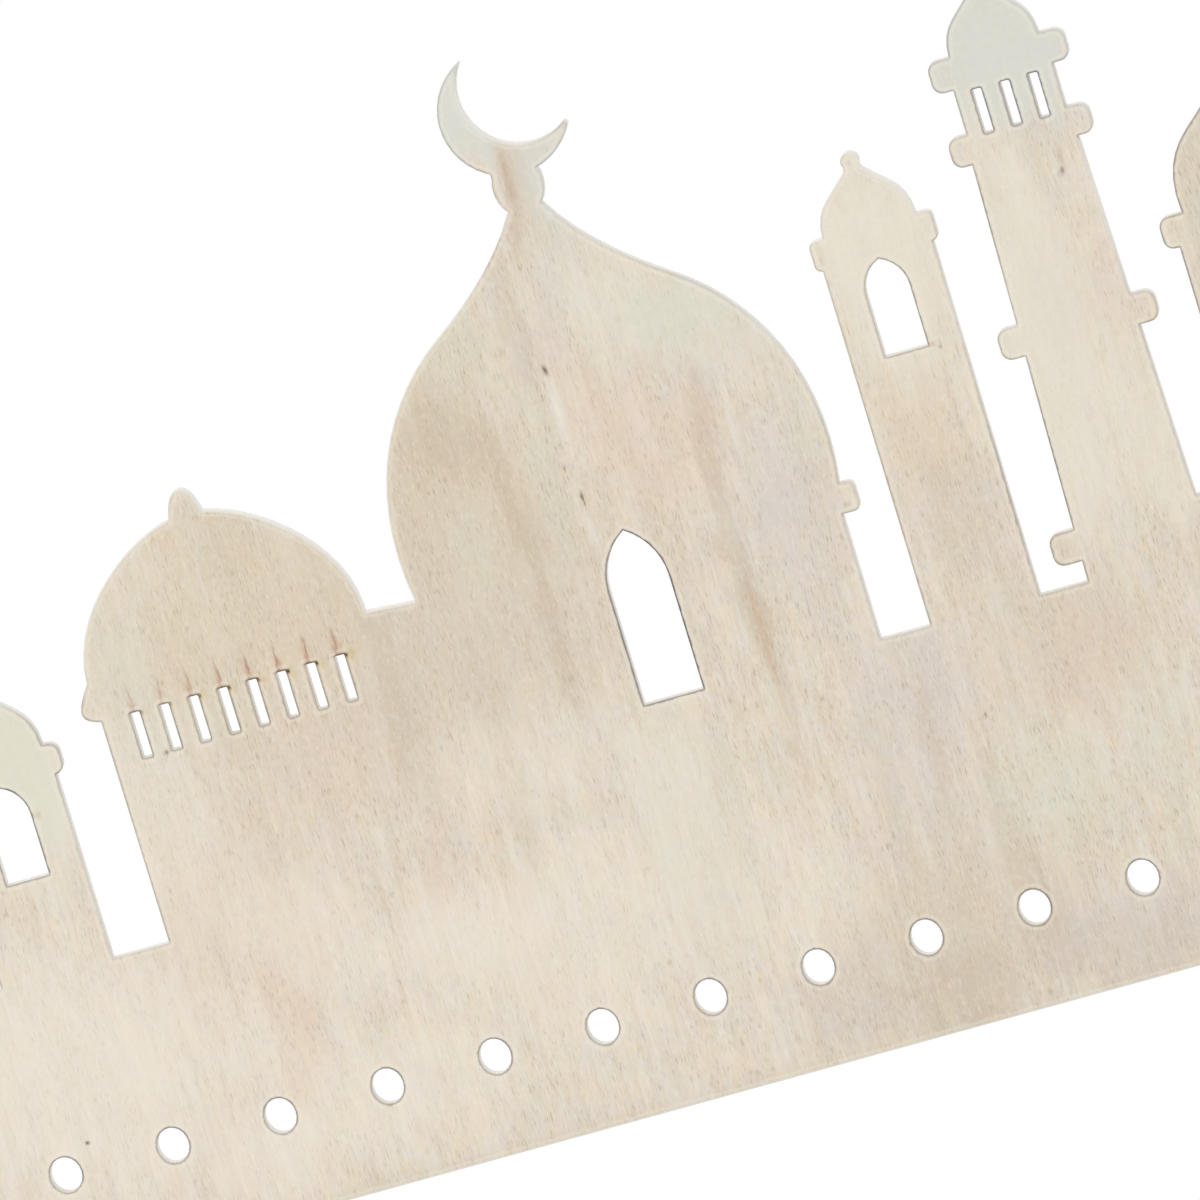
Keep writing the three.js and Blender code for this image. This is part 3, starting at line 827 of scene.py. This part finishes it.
def back_wood():
    material, tree = new_material("back_veneer_wood")
    place = place_in_mm(tree)
    base, grain = raw_veneer(tree, place, (340, 0, 120))
    base = tint(tree, maths(tree, "MULTIPLY", grain["Flecks"], 0.5), base, FLECK)
    base = tint(tree, maths(tree, "MULTIPLY", grain["Glints"], 0.3), base, GLINT)
    rim, scorch_and_shade = attribute(tree, "rim"), attribute(tree, "scorch_and_shade")
    # Line along the back's cut: scorch, and painted shade on edges that face away from the light
    line = use(tree, SCORCH_AND_SHADE_LINE, place=place, rim=rim, strength=scorch_and_shade, width=0.5)
    base = tint(tree, line["Line"], base, BACK_LINE)
    roughness = ramp(tree, grain["Streaks"], 0.0, 1.0, 0.66, 0.76)
    finish_material(tree, base, roughness, grain["Pores"])
    return material


def cut_edge():
    """The pale cut edge of the core ply, a little darker along its glue lines and grey where the
    cut scorched it, most of all towards the front."""
    material, tree = new_material("laser_cut_edge")
    place = place_in_mm(tree)
    parts = add(tree, "ShaderNodeSeparateXYZ", {0: place}).outputs
    low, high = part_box("core_ply")
    middle = (low.y + high.y) / 2 * MM_PER_M
    half = (high.y - low.y) / 2 * MM_PER_M
    off_middle = maths(tree, "ABSOLUTE", maths(tree, "SUBTRACT", parts[1], middle))
    glue = ramp(tree, off_middle, half - 0.28, half - 0.06)
    shown = ramp(tree, parts[1], middle - half, middle + half / 2, 0.6, 0.0)
    bars = noise(tree, stretched(tree, place, (0.5, 2.5, 0.5)), detail=2.0)
    cloud = noise(tree, stretched(tree, place, (9, 9, 9)), detail=2.0)
    clean = spot_field(tree, place, CLEAN)
    charred = maths(tree, "ADD", spot_field(tree, place, SCORCHED), 0.2)
    charred = maths(tree, "SUBTRACT", charred, clean, clamp=True)
    charred = maths(tree, "MULTIPLY", charred, shown)
    base = tint(tree, ramp(tree, cloud, 0.35, 0.65), EDGE, EDGE_CLOUD)
    base = tint(tree, ramp(tree, bars, 0.4, 0.75, 0.0, 0.16), base, EDGE_BARS)
    base = tint(tree, maths(tree, "MULTIPLY", glue, 0.12), base, EDGE_GLUE)
    base = tint(tree, maths(tree, "MULTIPLY", clean, 0.8, clamp=True), base, EDGE)
    base = tint(tree, charred, base, EDGE_CHARRED)
    finish_material(tree, base, 0.75, bars, strength=0.3)
    return material


# Pieces

FRONT = veneer("front_face_veneer", "front_veneer", -1)
BACK = veneer("back_face_veneer", "back_veneer", 1)
FRONT.data.materials.append(front_wood())
BACK.data.materials.append(back_wood())
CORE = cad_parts["core_ply"]
CORE.data.materials.clear()
CORE.data.materials.append(cut_edge())

# Studio

def studio_floor():
    """A round pale floor well under the hanging sheet."""
    mesh = bpy.data.meshes.new("floor")
    disc = bmesh.new()
    bmesh.ops.create_circle(disc, cap_ends=True, segments=96, radius=FLOOR_RADIUS)
    disc.to_mesh(mesh)
    disc.free()
    floor = bpy.data.objects.new("floor", mesh)
    floor.location = (0, 0, FLOOR_HEIGHT)
    bpy.context.scene.collection.objects.link(floor)
    material, tree = new_material("pale_floor")
    dust = noise(tree, stretched(tree, place_in_mm(tree), (60, 60, 60)))
    base = tint(tree, dust, FLOOR, FLOOR_DUST)
    surface = add(tree, "ShaderNodeBsdfPrincipled", {"Base Color": base, "Roughness": 0.9})
    add(tree, "ShaderNodeOutputMaterial", {"Surface": surface.outputs[0]})
    mesh.materials.append(material)


def studio_light():
    """An even white room, and one large soft lamp high on the left."""
    world = bpy.data.worlds.new("white_room")
    bpy.context.scene.world = world
    world.use_nodes = True
    tree = world.node_tree
    tree.nodes.clear()
    seen = add(tree, "ShaderNodeLightPath").outputs
    direct = maths(tree, "MAXIMUM", seen["Is Camera Ray"], seen["Is Transmission Ray"])
    direct = maths(tree, "MAXIMUM", direct, seen["Is Glossy Ray"])
    strength = maths(tree, "MULTIPLY_ADD", direct, 1 - ROOM_LIGHT, ROOM_LIGHT)
    room = add(tree, "ShaderNodeBackground", {"Color": (1, 1, 1, 1), "Strength": strength})
    add(tree, "ShaderNodeOutputWorld", {"Surface": room.outputs[0]})

    lamp = bpy.data.lights.new("soft_lamp", "AREA")
    lamp.shape = "DISK"
    lamp.size = LAMP_SIZE
    lamp.energy = LAMP_POWER
    holder = bpy.data.objects.new("soft_lamp", lamp)
    holder.location = LAMP_PLACE
    holder.rotation_euler = (LAMP_AIM - LAMP_PLACE).to_track_quat("-Z", "Y").to_euler()
    bpy.context.scene.collection.objects.link(holder)


def camera():
    """The camera, far off with a long lens, leaning so that the towers tip to the left."""
    back = Vector((sin(SWING) * cos(SWING_SIDE), -cos(SWING), sin(SWING) * sin(SWING_SIDE)))
    level = (-back).cross(Vector((0, 0, 1))).normalized()
    upright = level.cross(-back)
    right = level * cos(LEAN) + upright * sin(LEAN)
    up = upright * cos(LEAN) - level * sin(LEAN)
    data = bpy.data.cameras.new("camera")
    data.sensor_width = SENSOR
    data.lens = LENS
    data.clip_end = FAR_CLIP
    view = bpy.data.objects.new("camera", data)
    turn = Matrix((right, up, back)).transposed().to_4x4()
    view.matrix_world = Matrix.Translation(AIM + back * STAND_OFF) @ turn
    bpy.context.scene.collection.objects.link(view)
    bpy.context.scene.camera = view


studio_floor()
studio_light()
camera()
bpy.context.scene.view_settings.view_transform = "Standard"
